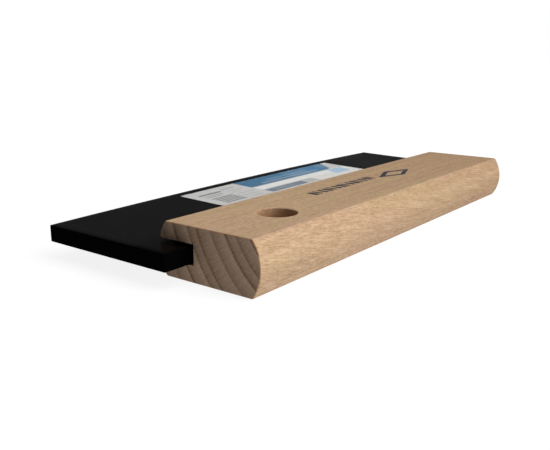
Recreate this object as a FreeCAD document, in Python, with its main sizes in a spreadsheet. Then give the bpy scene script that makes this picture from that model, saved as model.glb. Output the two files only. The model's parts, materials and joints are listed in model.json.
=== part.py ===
import FreeCAD, Part
import math
import os
import Sketcher

# Grout float: a beech bar with a slot along its front side, a rubber blade glued into
# the slot, and a label on the blade. Millimetres, +Z up. +X runs along the handle, away
# from the hanging hole, and +Y runs from the handle towards the free edge of the blade.
# The origin is under the middle of the whole tool, on the surface that it lies on.

sizes = {
    "handle_length": 225.0,
    "handle_width": 49.0,  # across the crests of the two rounded sides
    "handle_height": 21.5,
    "side_bulge": 3.65,  # how far each rounded side stands out past the flat faces
    "long_edge_round": 1.2,  # sanded edges along the handle
    "end_edge_round": 0.5,  # sanded edges round the two sawn ends
    "hole_diameter": 16.0,  # hanging hole
    "hole_from_end": 36.5,  # centre of the hole to the end of the handle
    "hole_wall": 2.1,  # wood left between the hole and the bottom of the slot
    "hole_edge_round": 0.6,
    "blade_length": 250.0,
    "blade_reach": 50.5,  # rubber that shows in front of the handle
    "blade_seat": 16.0,  # rubber inside the slot
    "blade_thickness": 7.0,
    "blade_edge_round": 0.4,
    "glue_under": 0.15,  # film between the blade and the floor of the slot
    "glue_over": 1.05,  # and between the blade and the roof of the slot
    "glue_bead": 2.0,  # room behind the blade, filled with glue
    "glue_end_gap": 3.0,  # the glue stops this far from each end of the handle
    "glue_mouth_gap": 5.0,  # and this far behind the mouth of the slot
    "label_length": 124.5,
    "label_width": 40.0,
    "label_thickness": 0.15,
    "label_corner": 1.0,
    "label_gap": 5.0,  # bare rubber between the handle and the label
    "label_shift": 5.75,  # middle of the label to the middle of the handle
}

document = FreeCAD.newDocument("grout_float")
sheet = document.addObject("Spreadsheet::Sheet", "Sizes")
for row, (name, value) in enumerate(sizes.items(), start=1):
    sheet.set(f"A{row}", name)
    sheet.set(f"B{row}", str(value))
    sheet.setAlias(f"B{row}", name)
document.recompute()

# Sizes that follow from the driving ones, as expressions on the sheet.
flat_width = "(Sizes.handle_width - 2 * Sizes.side_bulge)"
side_radius = "(((Sizes.handle_height / 2) ^ 2 + Sizes.side_bulge ^ 2) / (2 * Sizes.side_bulge))"
slot_height = "(Sizes.blade_thickness + Sizes.glue_under + Sizes.glue_over)"
slot_depth = "(Sizes.blade_seat + Sizes.glue_bead)"
slot_bottom = f"((Sizes.handle_height - {slot_height}) / 2)"
slot_back = f"(Sizes.handle_width / 2 - {slot_depth})"
hole_across = f"({slot_back} - Sizes.hole_wall - Sizes.hole_diameter / 2)"
blade_width = "(Sizes.blade_reach + Sizes.blade_seat)"
glue_width = f"({slot_depth} - Sizes.glue_mouth_gap)"
glue_length = "(Sizes.handle_length - 2 * Sizes.glue_end_gap)"

# Where each piece lies in the tool, measured across it from its middle.
handle_place = "(-Sizes.blade_reach / 2)"
mouth_place = "((Sizes.handle_width - Sizes.blade_reach) / 2)"
blade_bottom = f"({slot_bottom} + Sizes.glue_under)"
blade_top = f"({blade_bottom} + Sizes.blade_thickness)"


def value_of(expression):
    return float(sheet.evalExpression(expression))


def new_body(label, along="0", across="0", up="0"):
    """An empty body with its place tied to the sheet."""
    body = document.addObject("PartDesign::Body", label)
    body.Label = label
    for axis, expression in (("x", along), ("y", across), ("z", up)):
        body.setExpression(f".Placement.Base.{axis}", expression)
    return body


def new_sketch(body, name, plane_role):
    """A sketch on one of the origin planes of the body."""
    sketch = body.newObject("Sketcher::SketchObject", name)
    plane = next(item for item in body.Origin.OriginFeatures if item.Role == plane_role)
    sketch.AttachmentSupport = [(plane, "")]
    sketch.MapMode = "FlatFace"
    return sketch


def add_size(sketch, name, expression, kind, *where):
    """A constraint whose value is tied to the sheet."""
    index = sketch.addConstraint(Sketcher.Constraint(kind, *where, value_of(expression)))
    sketch.renameConstraint(index, name)
    sketch.setExpression(f"Constraints.{name}", expression)


def draw_box(sketch, left, bottom, wide, high):
    """A rectangle from its lower left corner, every size an expression."""
    west, south = value_of(left), value_of(bottom)
    east, north = west + value_of(wide), south + value_of(high)
    corners = [(west, south), (east, south), (east, north), (west, north)]
    points = [FreeCAD.Vector(x, y, 0) for x, y in corners]
    first = sketch.GeometryCount
    for side in range(4):
        sketch.addGeometry(Part.LineSegment(points[side], points[(side + 1) % 4]), False)
    for side in range(4):
        after = first + (side + 1) % 4
        sketch.addConstraint(Sketcher.Constraint("Coincident", first + side, 2, after, 1))
        level = "Horizontal" if side % 2 == 0 else "Vertical"
        sketch.addConstraint(Sketcher.Constraint(level, first + side))
    add_size(sketch, "left", left, "DistanceX", -1, 1, first, 1)
    add_size(sketch, "bottom", bottom, "DistanceY", -1, 1, first, 1)
    add_size(sketch, "wide", wide, "DistanceX", first, 1, first, 2)
    add_size(sketch, "high", high, "DistanceY", first + 1, 1, first + 1, 2)


def pad(body, sketch, name, length, midplane):
    """Material as thick as length, to one side of the sketch or half to each side."""
    feature = body.newObject("PartDesign::Pad", name)
    feature.Profile = sketch
    feature.Midplane = midplane
    feature.setExpression("Length", length)
    document.recompute()
    return feature


def pocket(body, sketch, name, length, midplane):
    """A cut as long as length, up from the sketch or half to each side of it."""
    before = body.Shape.Volume
    feature = body.newObject("PartDesign::Pocket", name)
    feature.Profile = sketch
    feature.Midplane = midplane
    feature.Reversed = not midplane
    feature.setExpression("Length", length)
    document.recompute()
    if body.Shape.Volume >= before:
        raise RuntimeError(f"{name} cuts nothing")
    return feature


def round_edges(body, name, chosen, radius):
    """Round the edges of the tip that the chosen test picks out."""
    base = body.Tip
    picked = [f"Edge{number}" for number, edge in enumerate(base.Shape.Edges, start=1) if chosen(edge)]
    feature = body.newObject("PartDesign::Fillet", name)
    feature.Base = (base, picked)
    feature.setExpression("Radius", radius)
    document.recompute()
    return feature


def runs_along(edge):
    """True for an edge that runs the whole length of the handle."""
    return abs(edge.BoundBox.XLength - value_of("Sizes.handle_length")) < 1e-6


def lies_in_an_end(edge):
    """True for an edge that lies in one of the two sawn ends."""
    return edge.BoundBox.XLength < 1e-6


def is_hole_rim(edge):
    radius = value_of("Sizes.hole_diameter / 2")
    level = edge.BoundBox.ZLength < 1e-6
    return level and edge.Curve.TypeId == "Part::GeomCircle" and abs(edge.Curve.Radius - radius) < 1e-6


def stands_upright(edge):
    return edge.BoundBox.XLength < 1e-6 and edge.BoundBox.YLength < 1e-6


def any_edge(edge):
    return True


# Handle: one moulded bar with flat faces above and below and barrel-shaped long sides.
# Its own origin is at the middle of its underside.
handle = new_body("handle", across=handle_place)
outline = new_sketch(handle, "HandleOutline", "YZ_Plane")
half_flat = value_of(flat_width) / 2
top = value_of("Sizes.handle_height")
radius = value_of(side_radius)
swing = math.asin(top / 2 / radius)
centre_offset = half_flat - radius * math.cos(swing)
front_circle = Part.Circle(FreeCAD.Vector(centre_offset, top / 2, 0), FreeCAD.Vector(0, 0, 1), radius)
back_circle = Part.Circle(FreeCAD.Vector(-centre_offset, top / 2, 0), FreeCAD.Vector(0, 0, 1), radius)
underside = Part.LineSegment(FreeCAD.Vector(-half_flat, 0, 0), FreeCAD.Vector(half_flat, 0, 0))
front_side = Part.ArcOfCircle(front_circle, -swing, swing)
upper_side = Part.LineSegment(FreeCAD.Vector(half_flat, top, 0), FreeCAD.Vector(-half_flat, top, 0))
back_side = Part.ArcOfCircle(back_circle, math.pi - swing, math.pi + swing)
outline.addGeometry([underside, front_side, upper_side, back_side], False)
for side in range(4):
    outline.addConstraint(Sketcher.Constraint("Coincident", side, 2, (side + 1) % 4, 1))
outline.addConstraint(Sketcher.Constraint("PointOnObject", 0, 1, -1))
outline.addConstraint(Sketcher.Constraint("Symmetric", 0, 1, 0, 2, -2))
outline.addConstraint(Sketcher.Constraint("Symmetric", 2, 1, 2, 2, -2))
add_size(outline, "flat_width", flat_width, "DistanceX", 0, 1, 0, 2)
add_size(outline, "upper_flat_width", flat_width, "DistanceX", 2, 2, 2, 1)
add_size(outline, "height", "Sizes.handle_height", "DistanceY", 0, 2, 2, 1)
add_size(outline, "front_radius", side_radius, "Radius", 1)
add_size(outline, "back_radius", side_radius, "Radius", 3)
pad(handle, outline, "HandleBar", "Sizes.handle_length", True)
round_edges(handle, "LongEdges", runs_along, "Sizes.long_edge_round")
round_edges(handle, "EndEdges", lies_in_an_end, "Sizes.end_edge_round")

# The slot is open along the whole front side, and passes the crest of the bulge.
slot = new_sketch(handle, "SlotSection", "YZ_Plane")
draw_box(slot, slot_back, slot_bottom, f"({slot_depth} + Sizes.side_bulge)", slot_height)
pocket(handle, slot, "Slot", "Sizes.handle_length", True)

hole = new_sketch(handle, "HangingHoleCircle", "XY_Plane")
hole_along = "(-Sizes.handle_length / 2 + Sizes.hole_from_end)"
hole_centre = FreeCAD.Vector(value_of(hole_along), value_of(hole_across), 0)
hole_radius = value_of("Sizes.hole_diameter / 2")
hole.addGeometry(Part.Circle(hole_centre, FreeCAD.Vector(0, 0, 1), hole_radius), False)
add_size(hole, "along", hole_along, "DistanceX", -1, 1, 0, 3)
add_size(hole, "across", hole_across, "DistanceY", -1, 1, 0, 3)
add_size(hole, "hole_diameter", "Sizes.hole_diameter", "Diameter", 0)
pocket(handle, hole, "HangingHole", "Sizes.handle_height", False)
round_edges(handle, "HoleRims", is_hole_rim, "Sizes.hole_edge_round")

# Rubber blade: a flat sheet, longer than the handle at both ends. Its own origin is at
# the middle of its underside, level with the mouth of the slot.
blade = new_body("rubber_blade", across=mouth_place, up=blade_bottom)
blade_outline = new_sketch(blade, "BladeOutline", "XY_Plane")
blade_end = "(-Sizes.blade_length / 2)"
draw_box(blade_outline, blade_end, "(-Sizes.blade_seat)", "Sizes.blade_length", blade_width)
pad(blade, blade_outline, "BladeSheet", "Sizes.blade_thickness", False)
round_edges(blade, "BladeEdges", any_edge, "Sizes.blade_edge_round")

# Glue: a bead behind the blade and a leaf above and below it, one closed section like a
# letter U lying on its side. Its own origin is at the back of the slot, on its floor.
glue = new_body("glue_film", across=f"({mouth_place} - {slot_depth})", up=slot_bottom)
glue_block = new_sketch(glue, "GlueSection", "YZ_Plane")
draw_box(glue_block, "0", "0", glue_width, slot_height)
pad(glue, glue_block, "GlueBlock", glue_length, True)
rubber_space = new_sketch(glue, "RubberSection", "YZ_Plane")
draw_box(rubber_space, "Sizes.glue_bead", "Sizes.glue_under", glue_width, "Sizes.blade_thickness")
pocket(glue, rubber_space, "RubberSpace", glue_length, True)

# Label: a thin sticker with rounded corners on the upper face of the blade. Its own
# origin is at its back edge, in the middle of its length.
label = new_body(
    "label",
    along="Sizes.label_shift",
    across=f"({mouth_place} + Sizes.label_gap)",
    up=blade_top,
)
label_outline = new_sketch(label, "LabelOutline", "XY_Plane")
label_end = "(-Sizes.label_length / 2)"
draw_box(label_outline, label_end, "0", "Sizes.label_length", "Sizes.label_width")
pad(label, label_outline, "LabelSheet", "Sizes.label_thickness", False)
round_edges(label, "LabelCorners", stands_upright, "Sizes.label_corner")

document.recompute()
for item in document.Objects:
    if "Invalid" in item.State or "Error" in item.State:
        raise RuntimeError(f"{item.Label} failed: {item.State}")

bodies = [item for item in document.Objects if item.TypeId == "PartDesign::Body"]
for body in bodies:
    if body.Shape.isNull() or not body.Shape.isValid() or len(body.Shape.Solids) != 1:
        raise RuntimeError(f"{body.Label} is not one sound solid")

os.makedirs("parts", exist_ok=True)
for body in bodies:
    body.Shape.exportStep(f"parts/{body.Label}.step")
    box = body.Shape.optimalBoundingBox()
    lows = f"{box.XMin:.2f} {box.YMin:.2f} {box.ZMin:.2f}"
    highs = f"{box.XMax:.2f} {box.YMax:.2f} {box.ZMax:.2f}"
    print(f"{body.Label}: {body.Shape.Volume / 1000:.1f} cm3, from {lows} to {highs}")
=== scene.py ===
# A grout float: a beech handle with a black rubber blade glued into its slot.
# The blade leaves the handle towards +Y, the hanging hole is at the -X end, sizes in mm become metres.
import json
import math
import bmesh
import bpy
from mathutils import Matrix, Vector


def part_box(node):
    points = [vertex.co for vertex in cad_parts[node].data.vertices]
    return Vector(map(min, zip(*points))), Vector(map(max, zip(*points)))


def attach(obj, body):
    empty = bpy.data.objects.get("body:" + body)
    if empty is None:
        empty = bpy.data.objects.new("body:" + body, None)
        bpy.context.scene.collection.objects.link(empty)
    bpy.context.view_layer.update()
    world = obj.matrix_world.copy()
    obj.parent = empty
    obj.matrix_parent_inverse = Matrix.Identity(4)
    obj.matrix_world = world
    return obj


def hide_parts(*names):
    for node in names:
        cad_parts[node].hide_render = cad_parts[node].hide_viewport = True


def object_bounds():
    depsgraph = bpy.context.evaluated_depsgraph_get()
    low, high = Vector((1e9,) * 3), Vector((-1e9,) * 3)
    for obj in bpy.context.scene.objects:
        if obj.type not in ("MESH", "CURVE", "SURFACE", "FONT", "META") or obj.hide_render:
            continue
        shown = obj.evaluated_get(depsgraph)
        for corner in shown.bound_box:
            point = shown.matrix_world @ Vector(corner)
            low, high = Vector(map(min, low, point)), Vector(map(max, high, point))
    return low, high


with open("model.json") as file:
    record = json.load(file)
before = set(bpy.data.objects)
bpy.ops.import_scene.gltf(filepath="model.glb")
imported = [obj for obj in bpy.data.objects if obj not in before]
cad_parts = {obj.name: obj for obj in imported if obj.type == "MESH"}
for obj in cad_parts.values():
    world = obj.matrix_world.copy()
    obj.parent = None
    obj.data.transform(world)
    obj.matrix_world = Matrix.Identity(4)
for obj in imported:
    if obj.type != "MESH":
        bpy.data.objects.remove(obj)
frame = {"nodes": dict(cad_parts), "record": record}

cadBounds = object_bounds()
metresPerMm = 0.001
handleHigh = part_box("handle")[1]
bladeLow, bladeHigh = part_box("rubber_blade")
labelLow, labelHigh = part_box("label")
hangingHole = next(m for m in frame["record"]["mounts"] if m["name"] == "hanging_hole")


def toLinear(hexColour):
    # sRGB hex to the linear colour that the shaders take
    parts = [int(hexColour[i:i + 2], 16) / 255 for i in (1, 3, 5)]
    return tuple(p / 12.92 if p <= 0.04045 else ((p + 0.055) / 1.055) ** 2.4 for p in parts) + (1.0,)


def addNode(tree, kind, inputs=None, stops=None, **settings):
    # one shader node with its settings, its values or links, and the stops of a ramp
    node = tree.nodes.new("ShaderNode" + kind)
    for name, value in settings.items():
        setattr(node, name, value)
    for socket, value in (inputs or {}).items():
        target = node.inputs[socket]
        if isinstance(value, bpy.types.NodeSocket):
            tree.links.new(value, target)
        elif isinstance(value, str):
            target.default_value = toLinear(value)
        else:
            target.default_value = value
    if stops:
        elements = node.color_ramp.elements
        while len(elements) < len(stops):
            elements.new(0.5)
        for element, (place, tone) in zip(elements, stops):
            element.position = place
            element.color = toLinear(tone) if isinstance(tone, str) else (tone, tone, tone, 1.0)
    return node


def startMaterial(name):
    # an empty material with its shader, and the object's own coordinates in mm
    material = bpy.data.materials.new(name)
    material.use_nodes = True
    tree = material.node_tree
    tree.nodes.clear()
    shader = addNode(tree, "BsdfPrincipled")
    addNode(tree, "OutputMaterial", {"Surface": shader.outputs["BSDF"]})
    coordinates = addNode(tree, "TexCoord")
    inMm = addNode(tree, "VectorMath", {0: coordinates.outputs["Object"], "Scale": 1 / metresPerMm},
                   operation="SCALE").outputs[0]
    return material, tree, shader, coordinates, inMm


# Camera and light come first.

view = {
    "aim": (-0.0217, 0.0137, -0.0014),  # just in front of the middle of the float
    "distance": 0.340,
    "azimuth": -52.56,  # degrees, seen from the hanging-hole end
    "elevation": 14.43,
    "roll": 0.19,
    "lens": 44.85,
}


def placeCamera(v):
    a, e = math.radians(v["azimuth"]), math.radians(v["elevation"])
    back = Vector((math.sin(a) * math.cos(e), -math.cos(a) * math.cos(e), math.sin(e)))
    data = bpy.data.cameras.new("benchCamera")
    data.lens = v["lens"]
    data.sensor_width = 36.0
    data.clip_start = 0.01
    camera = bpy.data.objects.new("benchCamera", data)
    camera.location = Vector(v["aim"]) + back * v["distance"]
    turn = (-back).to_track_quat("-Z", "Y").to_matrix().to_4x4()
    camera.rotation_euler = (turn @ Matrix.Rotation(math.radians(v["roll"]), 4, "Z")).to_euler()
    bpy.context.scene.collection.objects.link(camera)
    bpy.context.scene.camera = camera


studio = {
    "keyFrom": (0.3, -0.8, 0.5),  # a large soft window on the barrel side of the handle
    "keyStrength": 2.93,
    "topFrom": (0.2, -0.25, 1.0),
    "topStrength": 1.5,
    "spread": 56.0,  # degrees across, so no shadow has a hard edge
    "farSky": 0.15,  # dim walls, which the rubber's sheen mirrors: lightest just above the floor
    "lowSky": 0.06,
    "highSky": 0.2,
    "floorTone": "#6C6C6C",
    "floorGlow": 0.87,  # the table is opal glass lit from below, so shadows on it stay faint
    "floorHalf": 6.0,
}


def lightStudio(s):
    for name, towards, strength in (("keyWindow", s["keyFrom"], s["keyStrength"]),
                                    ("topWindow", s["topFrom"], s["topStrength"])):
        data = bpy.data.lights.new(name, "SUN")
        data.energy = strength
        data.angle = math.radians(s["spread"])
        lamp = bpy.data.objects.new(name, data)
        lamp.rotation_euler = Vector(towards).to_track_quat("Z", "Y").to_euler()
        lamp.visible_glossy = False  # kept out of the sheen, which would hide the black from some sides
        bpy.context.scene.collection.objects.link(lamp)
    world = bpy.data.worlds.new("studioRoom")
    world.use_nodes = True
    tree = world.node_tree
    tree.nodes.clear()
    height = addNode(tree, "SeparateXYZ", {0: addNode(tree, "TexCoord").outputs["Generated"]})
    room = addNode(tree, "ValToRGB", {0: height.outputs["Z"]}, stops=((0.0, 0.0), (0.01, s["farSky"]),
                                                                      (0.14, s["farSky"]),
                                                                      (0.26, s["lowSky"]),
                                                                      (0.5, s["lowSky"]),
                                                                      (0.9, s["highSky"])))
    roomLight = addNode(tree, "Background", {"Color": room.outputs["Color"], "Strength": 1.0})
    backdrop = addNode(tree, "Background", {"Color": (1.0, 1.0, 1.0, 1.0), "Strength": 1.0})
    seen = addNode(tree, "LightPath")
    both = addNode(tree, "MixShader", {0: seen.outputs["Is Camera Ray"], 1: roomLight.outputs[0],
                                       2: backdrop.outputs[0]})
    addNode(tree, "OutputWorld", {"Surface": both.outputs[0]})
    bpy.context.scene.world = world
    # an opal light table under the float, matt, and left out of reflections so black rubber stays black
    half = s["floorHalf"]
    mesh = bpy.data.meshes.new("lightTable")
    corners = [(-half, -half, 0), (half, -half, 0), (half, half, 0), (-half, half, 0)]
    mesh.from_pydata(corners, [], [(0, 1, 2, 3)])
    floor = bpy.data.objects.new("lightTable", mesh)
    bpy.context.scene.collection.objects.link(floor)
    material, tree, shader, coordinates, inMm = startMaterial("opalGlass")
    shader.inputs["Base Color"].default_value = toLinear(s["floorTone"])
    shader.inputs["Roughness"].default_value = 0.9
    shader.inputs["Specular IOR Level"].default_value = 0.1
    shader.inputs["Emission Color"].default_value = (1.0, 1.0, 1.0, 1.0)
    shader.inputs["Emission Strength"].default_value = s["floorGlow"]
    mesh.materials.append(material)
    floor.location.z = cadBounds[0][2] - 0.00005
    floor.visible_glossy = False
    bpy.context.scene.view_settings.view_transform = "Standard"


placeCamera(view)
lightStudio(studio)
print("camera and studio light are placed")


# The handle: beech sawn from a board, its long sides rounded to a shallow barrel, sanded and left bare.

beech = {
    "pithAcross": -79.0,  # mm, where the growth rings centre, outside the piece as the board was sawn
    "pithUp": 42.5,
    "rings": (39.8, 45.3, 49.9, 56.2, 62.8, 66.8, 73.6, 79.8, 86.0),  # mm from the pith to each dark line
    "ringsFrom": 34.0,
    "ringsTo": 92.0,
    "ringWander": 1.5,  # mm that a ring wanders
    "grainDive": 11.0,  # degrees that the grain dips towards the far end
    "light": "#C4A88B",
    "dark": "#94775A",
    "pink": "#C69F84",
    "yellow": "#BDA679",
    "fleck": "#7E5A38",
    "endLight": "#A48E78",
    "endMid": "#8B725D",
    "endDark": "#5E4936",
    "burnishAndShadeBrown": "#8A5429",  # sharp edges browned by the saw and by hands; also used as painted shade down the hanging hole
    "roughness": 0.66,
    "fibreDepth": 0.05,
    "specular": 0.32,
    "endRound": 1.3,  # mm in from each end that counts as the end's edge
    "holeShade": 7.0,  # mm down the hole over which its wall is painted darker brown, as painted shade
}


def sandedBeech(b):
    # Beech, sawn and fine sanded: pale pinkish tan, faint growth lines, short dark ray flecks on the
    # barrel side, and dull taupe end grain with clear rings. No varnish, so only a soft low sheen.
    material, tree, shader, coordinates, inMm = startMaterial("sandedBeech")
    place = addNode(tree, "SeparateXYZ", {0: inMm})
    facing = addNode(tree, "SeparateXYZ", {0: coordinates.outputs["Normal"]})
    facingEnd = addNode(tree, "Math", {0: facing.outputs["X"]}, operation="ABSOLUTE")
    facingUp = addNode(tree, "Math", {0: facing.outputs["Z"]}, operation="ABSOLUTE")
    fromMiddle = addNode(tree, "Math", {0: place.outputs["X"]}, operation="ABSOLUTE")
    topInMm = handleHigh[2] / metresPerMm
    endFrom = handleHigh[0] / metresPerMm - b["endRound"]
    atEnd = addNode(tree, "Math", {0: fromMiddle.outputs[0], 1: endFrom}, operation="GREATER_THAN")
    isEnd = addNode(tree, "MapRange", {"Value": facingEnd.outputs[0], "From Min": 0.62, "From Max": 0.9},
                    interpolation_type="SMOOTHSTEP")
    isEnd = addNode(tree, "Math", {0: isEnd.outputs[0], 1: atEnd.outputs[0]}, operation="MULTIPLY")

    # growth rings about the pith, which runs along X: light early wood, slowly darker, then a thin dark line
    slow = addNode(tree, "VectorMath", {0: inMm, 1: (1 / 85, 1 / 15, 1 / 15)}, operation="MULTIPLY")
    wander = addNode(tree, "TexNoise", {"Vector": slow.outputs[0], "Scale": 1.0, "Detail": 3.0})
    wander = addNode(tree, "VectorMath", {0: wander.outputs["Color"], 1: (0.5, 0.5, 0.5)},
                     operation="SUBTRACT")
    wandered = addNode(tree, "VectorMath", {0: wander.outputs[0], 1: (b["ringWander"],) * 3, 2: inMm},
                       operation="MULTIPLY_ADD")
    fromPith = addNode(tree, "VectorMath", {0: wandered.outputs[0], 1: (0.0, b["pithAcross"], b["pithUp"])},
                       operation="SUBTRACT")
    fromPith = addNode(tree, "VectorMath", {0: fromPith.outputs[0], 1: (0.0, 1.0, 1.0)},
                       operation="MULTIPLY")
    radius = addNode(tree, "VectorMath", {0: fromPith.outputs[0]}, operation="LENGTH")
    ring = addNode(tree, "MapRange", {"Value": radius.outputs["Value"], "From Min": b["ringsFrom"],
                                      "From Max": b["ringsTo"]})
    span = b["ringsTo"] - b["ringsFrom"]
    ringStops = [(0.0, 0.5)]
    for n, mm in enumerate(b["rings"]):
        depth = (0.14, 0.22, 0.08, 0.3)[n % 4]
        ringStops += [((mm - 1.5 - b["ringsFrom"]) / span, 0.46), ((mm - b["ringsFrom"]) / span, depth),
                      ((mm + 0.5 - b["ringsFrom"]) / span, (0.72, 0.62, 0.8)[n % 3])]
    ringTone = addNode(tree, "ValToRGB", {0: ring.outputs[0]}, stops=ringStops + [(1.0, 0.5)])

    # fibres run along X and dip a little: bundles about 0.5 mm thick, coarser than pores so that they show
    lean = addNode(tree, "VectorRotate", {"Vector": inMm, "Axis": (0.0, 1.0, 0.0),
                                          "Angle": math.radians(-b["grainDive"])},
                   rotation_type="AXIS_ANGLE")
    fine = addNode(tree, "VectorMath", {0: lean.outputs[0], 1: (1 / 14, 1 / 0.5, 1 / 0.5)},
                   operation="MULTIPLY")
    fibre = addNode(tree, "TexNoise", {"Vector": fine.outputs[0], "Scale": 1.0, "Detail": 3.0,
                                       "Roughness": 0.65})
    coarse = addNode(tree, "VectorMath", {0: lean.outputs[0], 1: (1 / 50, 1 / 2.4, 1 / 2.4)},
                     operation="MULTIPLY")
    band = addNode(tree, "TexNoise", {"Vector": coarse.outputs[0], "Scale": 1.0, "Detail": 3.0,
                                      "Roughness": 0.55})
    broad = addNode(tree, "VectorMath", {0: inMm, 1: (1 / 90, 1 / 7, 1 / 7)}, operation="MULTIPLY")
    patch = addNode(tree, "TexNoise", {"Vector": broad.outputs[0], "Scale": 1.0, "Detail": 2.0})
    grain = addNode(tree, "Math", {0: fibre.outputs["Fac"], 1: 1.8, 2: -0.57}, operation="MULTIPLY_ADD")
    grain = addNode(tree, "Math", {0: band.outputs["Fac"], 1: 0.45, 2: grain.outputs[0]},
                    operation="MULTIPLY_ADD")
    grain = addNode(tree, "Math", {0: ringTone.outputs["Color"], 1: -0.28, 2: grain.outputs[0]},
                    operation="MULTIPLY_ADD", use_clamp=True)
    # the colour is mixed a shade darker and redder towards the far end
    farEndTone = addNode(tree, "MapRange", {"Value": place.outputs["X"], "From Min": -60.0, "From Max": 110.0,
                                       "To Min": 0.0, "To Max": 0.26})
    grain = addNode(tree, "Math", {0: grain.outputs[0], 1: farEndTone.outputs[0]}, operation="ADD",
                    use_clamp=True)
    hue = addNode(tree, "MapRange", {"Value": patch.outputs["Fac"], "From Min": 0.34, "From Max": 0.66})
    warmLight = addNode(tree, "Mix", {0: hue.outputs[0], 6: b["yellow"], 7: b["pink"]}, data_type="RGBA")
    lightWood = addNode(tree, "Mix", {0: 0.4, 6: b["light"], 7: warmLight.outputs[2]}, data_type="RGBA")
    wood = addNode(tree, "Mix", {0: grain.outputs[0], 6: lightWood.outputs[2], 7: b["dark"]},
                   data_type="RGBA")

    # ray flecks: dashes 1 to 2.5 mm long where the sides cut the rays
    dashes = addNode(tree, "VectorMath", {0: lean.outputs[0], 1: (1 / 2.6, 1 / 0.7, 1 / 0.55)},
                     operation="MULTIPLY")
    fleck = addNode(tree, "TexVoronoi", {"Vector": dashes.outputs[0], "Scale": 1.0})
    fleckSize = addNode(tree, "SeparateColor", {0: fleck.outputs["Color"]})
    fleckReach = addNode(tree, "Math", {0: fleckSize.outputs[0], 1: 0.3, 2: 0.12}, operation="MULTIPLY_ADD")
    fleckEdge = addNode(tree, "Math", {0: fleckReach.outputs[0], 1: 0.22}, operation="ADD")
    fleckMark = addNode(tree, "MapRange", {"Value": fleck.outputs["Distance"],
                                           "From Min": fleckEdge.outputs[0],
                                           "From Max": fleckReach.outputs[0]})
    onSide = addNode(tree, "MapRange", {"Value": facingUp.outputs[0], "From Min": 0.97, "From Max": 0.6,
                                        "To Min": 0.06, "To Max": 0.34})
    fade = addNode(tree, "MapRange", {"Value": place.outputs["X"], "From Min": -40.0, "From Max": 110.0,
                                      "To Min": 1.0, "To Max": 0.3})
    fleckMark = addNode(tree, "Math", {0: fleckMark.outputs[0], 1: onSide.outputs[0]}, operation="MULTIPLY")
    fleckMark = addNode(tree, "Math", {0: fleckMark.outputs[0], 1: fade.outputs[0]}, operation="MULTIPLY")
    wood = addNode(tree, "Mix", {0: fleckMark.outputs[0], 6: wood.outputs[2], 7: b["fleck"]},
                   data_type="RGBA")

    # end grain: the same rings, duller because the cut fibres swallow light
    pores = addNode(tree, "TexNoise", {"Vector": inMm, "Scale": 1.3, "Detail": 4.0, "Roughness": 0.7})
    endTone = addNode(tree, "Math", {0: pores.outputs["Fac"], 1: 0.8, 2: -0.4}, operation="MULTIPLY_ADD")
    endTone = addNode(tree, "Math", {0: ringTone.outputs["Color"], 1: endTone.outputs[0]}, operation="ADD")
    # rays run out from the pith across the rings, about 0.5 mm apart, drawn faint
    aroundPith = addNode(tree, "SeparateXYZ", {0: fromPith.outputs[0]})
    bearing = addNode(tree, "Math", {0: aroundPith.outputs["Z"], 1: aroundPith.outputs["Y"]},
                      operation="ARCTAN2")
    rayPlace = addNode(tree, "CombineXYZ", {"X": bearing.outputs[0], "Y": radius.outputs["Value"]})
    rayPlace = addNode(tree, "VectorMath", {0: rayPlace.outputs[0], 1: (95.0, 1 / 7, 0.0)},
                       operation="MULTIPLY")
    rays = addNode(tree, "TexNoise", {"Vector": rayPlace.outputs[0], "Scale": 1.0, "Detail": 2.0})
    rays = addNode(tree, "Math", {0: rays.outputs["Fac"], 1: 0.5, 2: -0.25}, operation="MULTIPLY_ADD")
    endTone = addNode(tree, "Math", {0: endTone.outputs[0], 1: rays.outputs[0]}, operation="ADD",
                      use_clamp=True)
    endWood = addNode(tree, "ValToRGB", {0: endTone.outputs[0]}, stops=((0.0, b["endDark"]),
                                                                        (0.5, b["endMid"]),
                                                                        (1.0, b["endLight"])))
    wood = addNode(tree, "Mix", {0: isEnd.outputs[0], 6: wood.outputs[2], 7: endWood.outputs["Color"]},
                   data_type="RGBA")

    # the small rounds at the ends are burnished darker; the hole's wall gets a browner drilled tint plus
    # painted shade that deepens down the hole
    rounding = addNode(tree, "MapRange", {"Value": facingEnd.outputs[0], "From Min": 0.12,
                                          "From Max": 0.45}, interpolation_type="SMOOTHSTEP")
    notFlat = addNode(tree, "MapRange", {"Value": facingEnd.outputs[0], "From Min": 0.97, "From Max": 0.8},
                      interpolation_type="SMOOTHSTEP")
    rimAtEnd = addNode(tree, "Math", {0: rounding.outputs[0], 1: notFlat.outputs[0]}, operation="MULTIPLY")
    rimAtEnd = addNode(tree, "Math", {0: rimAtEnd.outputs[0], 1: atEnd.outputs[0]}, operation="MULTIPLY")
    holeRadius = hangingHole["dims"]["r_mm"]
    holeMiddle = [metres / metresPerMm for metres in hangingHole["pos_m"]]
    toHole = addNode(tree, "VectorMath", {0: inMm, 1: holeMiddle}, operation="SUBTRACT")
    toHole = addNode(tree, "VectorMath", {0: toHole.outputs[0], 1: (1.0, 1.0, 0.0)}, operation="MULTIPLY")
    toHole = addNode(tree, "VectorMath", {0: toHole.outputs[0]}, operation="LENGTH")
    holeWallTintAndShade = addNode(tree, "MapRange", {"Value": toHole.outputs["Value"], "From Min": holeRadius + 0.6,
                                           "From Max": holeRadius}, interpolation_type="SMOOTHSTEP")
    # painted shade: the hole's wall is browned more the deeper it goes
    holeDepthShade = addNode(tree, "MapRange", {"Value": place.outputs["Z"], "From Min": topInMm,
                                        "From Max": topInMm - b["holeShade"], "To Min": 0.25,
                                        "To Max": 1.0})
    holeWallTintAndShade = addNode(tree, "Math", {0: holeWallTintAndShade.outputs[0], 1: holeDepthShade.outputs[0]}, operation="MULTIPLY")
    burnishAndHoleShade = addNode(tree, "Math", {0: rimAtEnd.outputs[0], 1: 0.45}, operation="MULTIPLY")
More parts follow.
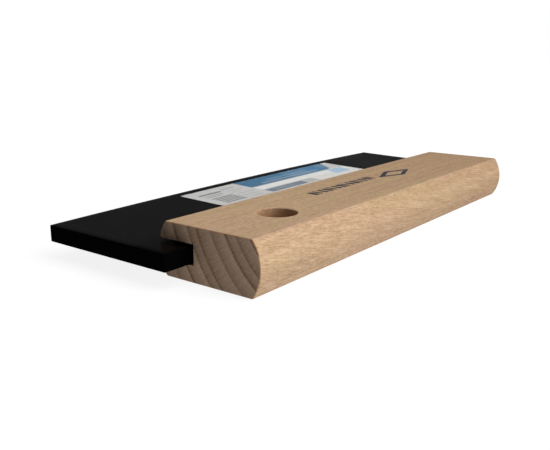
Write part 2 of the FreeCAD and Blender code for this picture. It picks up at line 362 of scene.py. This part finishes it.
    burnishAndHoleShade = addNode(tree, "Math", {0: holeWallTintAndShade.outputs[0], 1: 0.8, 2: burnishAndHoleShade.outputs[0]},
                    operation="MULTIPLY_ADD", use_clamp=True)
    wood = addNode(tree, "Mix", {0: burnishAndHoleShade.outputs[0], 6: wood.outputs[2], 7: b["burnishAndShadeBrown"]},
                   data_type="RGBA")
    tree.links.new(wood.outputs[2], shader.inputs["Base Color"])

    rough = addNode(tree, "MapRange", {"Value": fibre.outputs["Fac"], "To Min": b["roughness"] - 0.09,
                                       "To Max": b["roughness"] + 0.12})
    tree.links.new(rough.outputs[0], shader.inputs["Roughness"])
    shader.inputs["Specular IOR Level"].default_value = b["specular"]
    relief = addNode(tree, "Math", {0: fleckMark.outputs[0], 1: -0.6, 2: fibre.outputs["Fac"]},
                     operation="MULTIPLY_ADD")
    bump = addNode(tree, "Bump", {"Height": relief.outputs[0], "Strength": 0.35,
                                  "Distance": b["fibreDepth"] * metresPerMm})
    tree.links.new(bump.outputs[0], shader.inputs["Normal"])
    return material


handle = frame["nodes"]["handle"]
handle.data.materials.clear()
handle.data.materials.append(sandedBeech(beech))
print("the handle is beech")


# The blade: black rubber cut from thick sheet, its free edge sprung up a little in the middle.

blade = {
    "edgeRound": 0.4,
    "step": 2.5,  # mm between mesh lines along and across the sheet
    "stepThrough": 1.6,
    "middleRise": 1.7,  # mm that the free edge stands up at mid length, and at the far end
    "farRise": 1.0,
    "black": "#0B0B0B",
    "dust": "#191918",
    # the cut faces' own black, also used as painted shade on the rubber under the handle's lip
    "cutAndShadedBlack": "#020202",
    "cutGrey": "#060606",
    "roughness": 0.28,
    "specular": 0.045,
    "cutSpecular": 0.01,
    "grit": 0.35,  # mm, the cloth-pressed texture of sheet rubber
}


def bladeRise(x, y):
    # how far the rubber is lifted at a point, in metres: none at the slot or the near end
    along = x / bladeHigh[0]
    out = max(0.0, min(1.0, (y - handleHigh[1]) / (bladeHigh[1] - handleHigh[1])))
    half = blade["farRise"] / 2
    mm = out ** 1.3 * (1 + along) * (half + (blade["middleRise"] - half) * (1 - along))
    return mm * metresPerMm


def linesAcross(low, high, rounding, step):
    # grid places from low to high: close together over the rounded edge, then even
    near = [low, low + rounding * 0.35, low + rounding]
    far = [high - rounding, high - rounding * 0.35, high]
    count = max(2, round((high - low - 2 * rounding) / step))
    even = [low + rounding + (high - low - 2 * rounding) * i / count for i in range(1, count)]
    return near + even + far


def roundedSheet(name, low, high, rounding, steps, lift):
    # a closed block with rounded edges and an even grid, its points lifted by a function of x and y
    lines = [linesAcross(low[i], high[i], rounding[i], steps[i]) for i in range(3)]
    built = bmesh.new()
    points = {}

    def corner(i, j, k):
        if (i, j, k) not in points:
            p = Vector((lines[0][i], lines[1][j], lines[2][k]))
            inner = Vector([min(max(p[n], low[n] + rounding[n]), high[n] - rounding[n]) for n in range(3)])
            out = Vector([(p[n] - inner[n]) / rounding[n] for n in range(3)])
            if out.length > 1:
                out.normalize()
            p = Vector([inner[n] + out[n] * rounding[n] for n in range(3)])
            points[i, j, k] = built.verts.new((p.x, p.y, p.z + lift(p.x, p.y)))
        return points[i, j, k]

    last = [len(line) - 1 for line in lines]
    for axis in range(3):
        u, v = (axis + 1) % 3, (axis + 2) % 3
        for side in (0, last[axis]):
            for a in range(last[u]):
                for c in range(last[v]):
                    ring = []
                    for da, dc in ((0, 0), (1, 0), (1, 1), (0, 1)):
                        place = [0, 0, 0]
                        place[axis], place[u], place[v] = side, a + da, c + dc
                        ring.append(corner(*place))
                    built.faces.new(ring if side else ring[::-1])
    mesh = bpy.data.meshes.new(name)
    built.to_mesh(mesh)
    built.free()
    for polygon in mesh.polygons:
        polygon.use_smooth = True
    piece = bpy.data.objects.new(name, mesh)
    bpy.context.scene.collection.objects.link(piece)
    return piece


def pressedRubber(r):
    # Natural black rubber, pressed as sheet between cloths: nearly no colour of its own, and a dull grey
    # sheen at low angles that a faint woven texture breaks up.
    material, tree, shader, coordinates, inMm = startMaterial("pressedRubber")
    grit = addNode(tree, "TexNoise", {"Vector": inMm, "Scale": 1 / r["grit"], "Detail": 2.0,
                                      "Roughness": 0.6})
    cloud = addNode(tree, "TexNoise", {"Vector": inMm, "Scale": 1 / 18, "Detail": 4.0, "Roughness": 0.6})
    dusty = addNode(tree, "MapRange", {"Value": cloud.outputs["Fac"], "From Min": 0.45, "From Max": 0.8,
                                       "To Min": 0.0, "To Max": 0.3})
    tone = addNode(tree, "Mix", {0: dusty.outputs[0], 6: r["black"], 7: r["dust"]}, data_type="RGBA")
    # painted shade: in and beside the slot, where the handle's lip shades the rubber, its colour is blended
    # to the blacker cut-face tone
    place = addNode(tree, "SeparateXYZ", {0: inMm})
    outOfLipShade = addNode(tree, "MapRange", {"Value": place.outputs["Y"], "From Min": -3.0, "From Max": 2.0})
    tone = addNode(tree, "Mix", {0: outOfLipShade.outputs[0], 6: r["cutAndShadedBlack"], 7: tone.outputs[2]},
                   data_type="RGBA")
    tree.links.new(tone.outputs[2], shader.inputs["Base Color"])
    rough = addNode(tree, "MapRange", {"Value": cloud.outputs["Fac"], "From Min": 0.3, "From Max": 0.7,
                                       "To Min": r["roughness"] - 0.05, "To Max": r["roughness"] + 0.07})
    tree.links.new(rough.outputs[0], shader.inputs["Roughness"])
    shader.inputs["Specular IOR Level"].default_value = r["specular"]
    bump = addNode(tree, "Bump", {"Height": grit.outputs["Fac"], "Strength": 0.3, "Distance": 0.00006})
    tree.links.new(bump.outputs[0], shader.inputs["Normal"])
    return material


def cutRubber(r):
    # The same rubber where the sheet was cut with a wet knife: dead matt and blacker, with knife lines
    # running round the edge.
    material, tree, shader, coordinates, inMm = startMaterial("cutRubber")
    cuts = addNode(tree, "VectorMath", {0: inMm, 1: (1 / 14, 1 / 14, 1 / 0.5)}, operation="MULTIPLY")
    knife = addNode(tree, "TexNoise", {"Vector": cuts.outputs[0], "Scale": 1.0, "Detail": 3.0,
                                       "Roughness": 0.7})
    tone = addNode(tree, "Mix", {0: knife.outputs["Fac"], 6: r["cutAndShadedBlack"], 7: r["cutGrey"]},
                   data_type="RGBA")
    tree.links.new(tone.outputs[2], shader.inputs["Base Color"])
    rough = addNode(tree, "MapRange", {"Value": knife.outputs["Fac"], "To Min": 0.6, "To Max": 0.8})
    tree.links.new(rough.outputs[0], shader.inputs["Roughness"])
    shader.inputs["Specular IOR Level"].default_value = r["cutSpecular"]
    bump = addNode(tree, "Bump", {"Height": knife.outputs["Fac"], "Strength": 0.4, "Distance": 0.00008})
    tree.links.new(bump.outputs[0], shader.inputs["Normal"])
    return material


bladeRounds = [blade["edgeRound"] * metresPerMm] * 3
bladeSteps = [blade[key] * metresPerMm for key in ("step", "step", "stepThrough")]
rubberBlade = roundedSheet("rubberBlade", bladeLow, bladeHigh, bladeRounds, bladeSteps, bladeRise)
rubberBlade.data.materials.append(pressedRubber(blade))
rubberBlade.data.materials.append(cutRubber(blade))
for polygon in rubberBlade.data.polygons:
    polygon.material_index = 0 if abs(polygon.normal.z) > 0.8 else 1
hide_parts("rubber_blade")
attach(rubberBlade, "root")
print("the rubber blade is made")


# The glue: black contact adhesive along the blade in the slot.

glue = {"thin": "#060505", "thickSkin": "#15100C", "specular": 0.15}


def contactGlue(g):
    # Neoprene contact adhesive, brushed on: dull black with a slightly wet, lumpy skin.
    material, tree, shader, coordinates, inMm = startMaterial("contactGlue")
    lumps = addNode(tree, "TexNoise", {"Vector": inMm, "Scale": 0.9, "Detail": 3.0})
    tone = addNode(tree, "Mix", {0: lumps.outputs["Fac"], 6: g["thin"], 7: g["thickSkin"]},
                   data_type="RGBA")
    tree.links.new(tone.outputs[2], shader.inputs["Base Color"])
    rough = addNode(tree, "MapRange", {"Value": lumps.outputs["Fac"], "To Min": 0.45, "To Max": 0.75})
    tree.links.new(rough.outputs[0], shader.inputs["Roughness"])
    shader.inputs["Specular IOR Level"].default_value = g["specular"]
    bump = addNode(tree, "Bump", {"Height": lumps.outputs["Fac"], "Strength": 0.6, "Distance": 0.0002})
    tree.links.new(bump.outputs[0], shader.inputs["Normal"])
    return material


glueFilm = frame["nodes"]["glue_film"]
glueFilm.data.materials.clear()
glueFilm.data.materials.append(contactGlue(glue))
print("the glue is dark")


# The label: coated paper, stuck to the blade beside the handle. Plain panels and rules, no words.

labelPaper = {
    "paper": "#CFCECB",
    "shade": "#B5B6B6",
    "roughness": 0.42,
    "specular": 0.35,
    "cornerRound": 0.9,  # mm in plan
    "edgeRound": 0.06,
    "step": 2.5,  # mm between mesh lines along and across
    "stepThrough": 0.1,
    "proud": 0.02,  # mm above the rubber, so the two never share a surface
    # each printed mark: left and right, back and front (mm from the middle of the handle), how far it
    # leans along X for each mm across, its ink and how dense the ink is
    "marks": [
        {"along": (-18.5, 53.0), "across": (31.6, 44.4), "lean": 0.0, "ink": "#457698", "dense": 1.0},
        {"along": (40.0, 59.0), "across": (31.6, 44.4), "lean": 0.62, "ink": "#4F7C9E", "dense": 1.0},
        {"along": (-18.5, 20.0), "across": (31.6, 44.4), "lean": 0.0, "ink": "#326482", "dense": 0.6},
        {"along": (2.0, 38.0), "across": (37.2, 38.6), "lean": 0.0, "ink": "#B9CBDA", "dense": 0.35},
        {"along": (-6.0, 46.0), "across": (33.4, 35.2), "lean": 0.0, "ink": "#B4C0D2", "dense": 0.45},
        {"along": (-18.5, 70.0), "across": (24.6, 30.4), "lean": 0.0, "ink": "#E4E4E2", "dense": 0.9},
        {"along": (-18.5, 52.0), "across": (30.4, 31.6), "lean": 0.0, "ink": "#4C6272", "dense": 0.6},
        {"along": (-18.0, 13.5), "across": (17.6, 23.2), "lean": 0.0, "ink": "#51677B", "dense": 0.85},
        {"along": (-12.0, 4.0), "across": (20.0, 21.0), "lean": 0.0, "ink": "#A9B4C0", "dense": 0.5},
        {"along": (-18.5, 70.0), "across": (4.0, 16.6), "lean": 0.0, "ink": "#E0DEDA", "dense": 0.7},
        {"along": (15.0, 23.0), "across": (17.6, 23.2), "lean": 0.0, "ink": "#A9A8A2", "dense": 0.6},
        {"along": (24.0, 70.0), "across": (16.6, 24.6), "lean": 0.0, "ink": "#E0DEDA", "dense": 0.8},
        {"along": (-16.0, 30.0), "across": (12.4, 13.6), "lean": 0.0, "ink": "#8D979F", "dense": 0.6},
        {"along": (-16.0, 18.0), "across": (9.2, 10.2), "lean": 0.0, "ink": "#8D979F", "dense": 0.6},
        {"along": (40.0, 62.0), "across": (8.0, 14.0), "lean": 0.0, "ink": "#5C86A6", "dense": 0.7},
        {"along": (47.0, 62.0), "across": (21.0, 30.0), "lean": 0.3, "ink": "#8DB4D2", "dense": 0.8},
        {"along": (-51.5, -36.0), "across": (35.8, 37.6), "lean": 0.0, "ink": "#44464B", "dense": 0.8},
        {"along": (-51.0, -38.0), "across": (33.0, 34.0), "lean": 0.0, "ink": "#6C6E72", "dense": 0.6},
        {"along": (-51.0, -40.0), "across": (31.0, 31.9), "lean": 0.0, "ink": "#6C6E72", "dense": 0.6},
        *({"along": (-51.0, -36.5), "across": (18.9 + 2.2 * n, 20.2 + 2.2 * n), "lean": 0.0,
           "ink": "#4E5055", "dense": 0.75} for n in range(5)),
        {"along": (-34.0, -24.0), "across": (38.0, 39.4), "lean": 0.0, "ink": "#7A7C80", "dense": 0.6},
        {"along": (-34.0, -22.0), "across": (34.0, 34.8), "lean": 0.0, "ink": "#8A8B8E", "dense": 0.5},
        {"along": (-34.0, -26.0), "across": (31.0, 31.8), "lean": 0.0, "ink": "#8A8B8E", "dense": 0.5},
        {"along": (-34.0, -21.0), "across": (27.0, 27.8), "lean": 0.0, "ink": "#8A8B8E", "dense": 0.5},
        {"along": (-34.0, -24.0), "across": (23.0, 23.8), "lean": 0.0, "ink": "#8A8B8E", "dense": 0.5},
        {"along": (-34.0, -25.0), "across": (19.0, 19.8), "lean": 0.0, "ink": "#8A8B8E", "dense": 0.5},
        {"along": (-51.0, -24.0), "across": (13.0, 13.9), "lean": 0.0, "ink": "#7C7E82", "dense": 0.5},
        {"along": (-51.0, -30.0), "across": (10.2, 11.1), "lean": 0.0, "ink": "#7C7E82", "dense": 0.5},
    ],
}


def coatedPaper(p):
    # Clay-coated paper, offset printed: smooth off-white with a low gloss, flat inks a little worn.
    material, tree, shader, coordinates, inMm = startMaterial("coatedPaper")
    place = addNode(tree, "SeparateXYZ", {0: inMm})
    mottle = addNode(tree, "TexNoise", {"Vector": inMm, "Scale": 0.35, "Detail": 4.0, "Roughness": 0.65})
    tone = addNode(tree, "Mix", {0: mottle.outputs["Fac"], 6: p["paper"], 7: p["shade"]}, data_type="RGBA")
    wear = addNode(tree, "MapRange", {"Value": mottle.outputs["Fac"], "From Min": 0.25, "From Max": 0.75,
                                      "To Min": 1.0, "To Max": 0.8})
    for mark in p["marks"]:
        left, right = mark["along"]
        back, front = mark["across"]
        slid = addNode(tree, "Math", {0: place.outputs["Y"], 1: -mark["lean"],
                                      2: mark["lean"] * (back + front) / 2}, operation="MULTIPLY_ADD")
        slid = addNode(tree, "Math", {0: place.outputs["X"], 1: slid.outputs[0]}, operation="ADD")
        within = addNode(tree, "Math", {0: slid.outputs[0], 1: (left + right) / 2, 2: (right - left) / 2},
                         operation="COMPARE")
        across = addNode(tree, "Math", {0: place.outputs["Y"], 1: (back + front) / 2,
                                        2: (front - back) / 2}, operation="COMPARE")
        inked = addNode(tree, "Math", {0: within.outputs[0], 1: across.outputs[0]}, operation="MULTIPLY")
        inked = addNode(tree, "Math", {0: inked.outputs[0], 1: mark["dense"]}, operation="MULTIPLY")
        inked = addNode(tree, "Math", {0: inked.outputs[0], 1: wear.outputs[0]}, operation="MULTIPLY")
        tone = addNode(tree, "Mix", {0: inked.outputs[0], 6: tone.outputs[2], 7: mark["ink"]},
                       data_type="RGBA")
    tree.links.new(tone.outputs[2], shader.inputs["Base Color"])
    rough = addNode(tree, "MapRange", {"Value": mottle.outputs["Fac"], "To Min": p["roughness"] - 0.06,
                                       "To Max": p["roughness"] + 0.1})
    tree.links.new(rough.outputs[0], shader.inputs["Roughness"])
    shader.inputs["Specular IOR Level"].default_value = p["specular"]
    bump = addNode(tree, "Bump", {"Height": mottle.outputs["Fac"], "Strength": 0.15, "Distance": 0.0001})
    tree.links.new(bump.outputs[0], shader.inputs["Normal"])
    return material


def labelLift(x, y):
    return bladeRise(x, y) + labelPaper["proud"] * metresPerMm


labelRounds = [labelPaper[key] * metresPerMm for key in ("cornerRound", "cornerRound", "edgeRound")]
labelSteps = [labelPaper[key] * metresPerMm for key in ("step", "step", "stepThrough")]
paperLabel = roundedSheet("paperLabel", labelLow, labelHigh, labelRounds, labelSteps, labelLift)
paperLabel.data.materials.append(coatedPaper(labelPaper))
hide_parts("label")
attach(paperLabel, "root")
print("the label is on the blade")


# The ink stamp on the handle: a row of plain bars and a lozenge.

stamp = {
    "thick": 0.03,  # mm of ink standing on the wood
    "sunk": 0.01,  # and in it
    "barCorner": 0.35,
    "barsFrom": -39.5,
    "barsTo": 14.5,
    "barCount": 14,
    "barWidths": (2.9, 1.8, 2.4),
    "back": -17.2,
    "front": -22.9,
    "lozenge": {"middle": (31.0, -23.2), "reach": (16.0, 6.0), "line": 0.4},
    "ink": "#2A323D",
    "worn": "#6E6459",
}


def padPrint(s):
    # Dark blue-grey marking ink rolled on bare wood: matt, broken where the grain stands proud.
    material, tree, shader, coordinates, inMm = startMaterial("padPrint")
    fine = addNode(tree, "VectorMath", {0: inMm, 1: (1 / 9, 1 / 0.5, 1.0)}, operation="MULTIPLY")
    gaps = addNode(tree, "TexNoise", {"Vector": fine.outputs[0], "Scale": 1.0, "Detail": 3.0,
                                      "Roughness": 0.7})
    broken = addNode(tree, "MapRange", {"Value": gaps.outputs["Fac"], "From Min": 0.42, "From Max": 0.68,
                                        "To Min": 0.0, "To Max": 0.8})
    tone = addNode(tree, "Mix", {0: broken.outputs[0], 6: s["ink"], 7: s["worn"]}, data_type="RGBA")
    tree.links.new(tone.outputs[2], shader.inputs["Base Color"])
    rough = addNode(tree, "MapRange", {"Value": gaps.outputs["Fac"], "To Min": 0.6, "To Max": 0.8})
    tree.links.new(rough.outputs[0], shader.inputs["Roughness"])
    shader.inputs["Specular IOR Level"].default_value = 0.25
    bump = addNode(tree, "Bump", {"Height": gaps.outputs["Fac"], "Strength": 0.2, "Distance": 0.00004})
    tree.links.new(bump.outputs[0], shader.inputs["Normal"])
    return material


def inkStamp(s):
    built = bmesh.new()
    top = handleHigh[2]

    def inkPatch(outline, inner=None):
        # a thin closed patch of ink, with an opening where inner is given
        low, high = top - s["sunk"] * metresPerMm, top + s["thick"] * metresPerMm
        loops = [outline] + ([inner] if inner else [])
        rings = [[[built.verts.new((x * metresPerMm, y * metresPerMm, z)) for x, y in loop]
                  for z in (low, high)] for loop in loops]
        for n, (below, above) in enumerate(rings):
            count = len(below)
            for i in range(count):
                j = (i + 1) % count
                wall = (below[i], below[j], above[j], above[i])
                built.faces.new(wall if n == 0 else wall[::-1])
        if inner:
            for level in (0, 1):
                outer, hole = rings[0][level], rings[1][level]
                for i in range(len(outer)):
                    j = (i + 1) % len(outer)
                    face = (outer[i], outer[j], hole[j], hole[i])
                    built.faces.new(face if level else face[::-1])
        else:
            built.faces.new(rings[0][1])
            built.faces.new(rings[0][0][::-1])

    def softBox(left, right, back, front):
        # a box with a rounded corner at each place, its points in order round it
        corner = s["barCorner"]
        points = []
        for cx, cy, start in ((right - corner, back - corner, 0), (left + corner, back - corner, 90),
                              (left + corner, front + corner, 180), (right - corner, front + corner, 270)):
            for k in range(4):
                angle = math.radians(start + 30 * k)
                points.append((cx + corner * math.cos(angle), cy + corner * math.sin(angle)))
        return points

    pitch = (s["barsTo"] - s["barsFrom"]) / s["barCount"]
    for i in range(s["barCount"]):
        width = s["barWidths"][i % len(s["barWidths"])]
        left = s["barsFrom"] + pitch * i
        inkPatch(softBox(left, left + width, s["back"], s["front"]))
    (cx, cy), (rx, ry) = s["lozenge"]["middle"], s["lozenge"]["reach"]
    around = ((rx, 0), (0, ry), (-rx, 0), (0, -ry))
    shrink = 1 - s["lozenge"]["line"]
    inkPatch([(cx + dx, cy + dy) for dx, dy in around],
             [(cx + dx * shrink, cy + dy * shrink) for dx, dy in around])
    mesh = bpy.data.meshes.new("inkStamp")
    built.to_mesh(mesh)
    built.free()
    piece = bpy.data.objects.new("inkStamp", mesh)
    bpy.context.scene.collection.objects.link(piece)
    mesh.materials.append(padPrint(s))
    return piece


stampPiece = inkStamp(stamp)
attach(stampPiece, "root")
print("the stamp is on the handle")
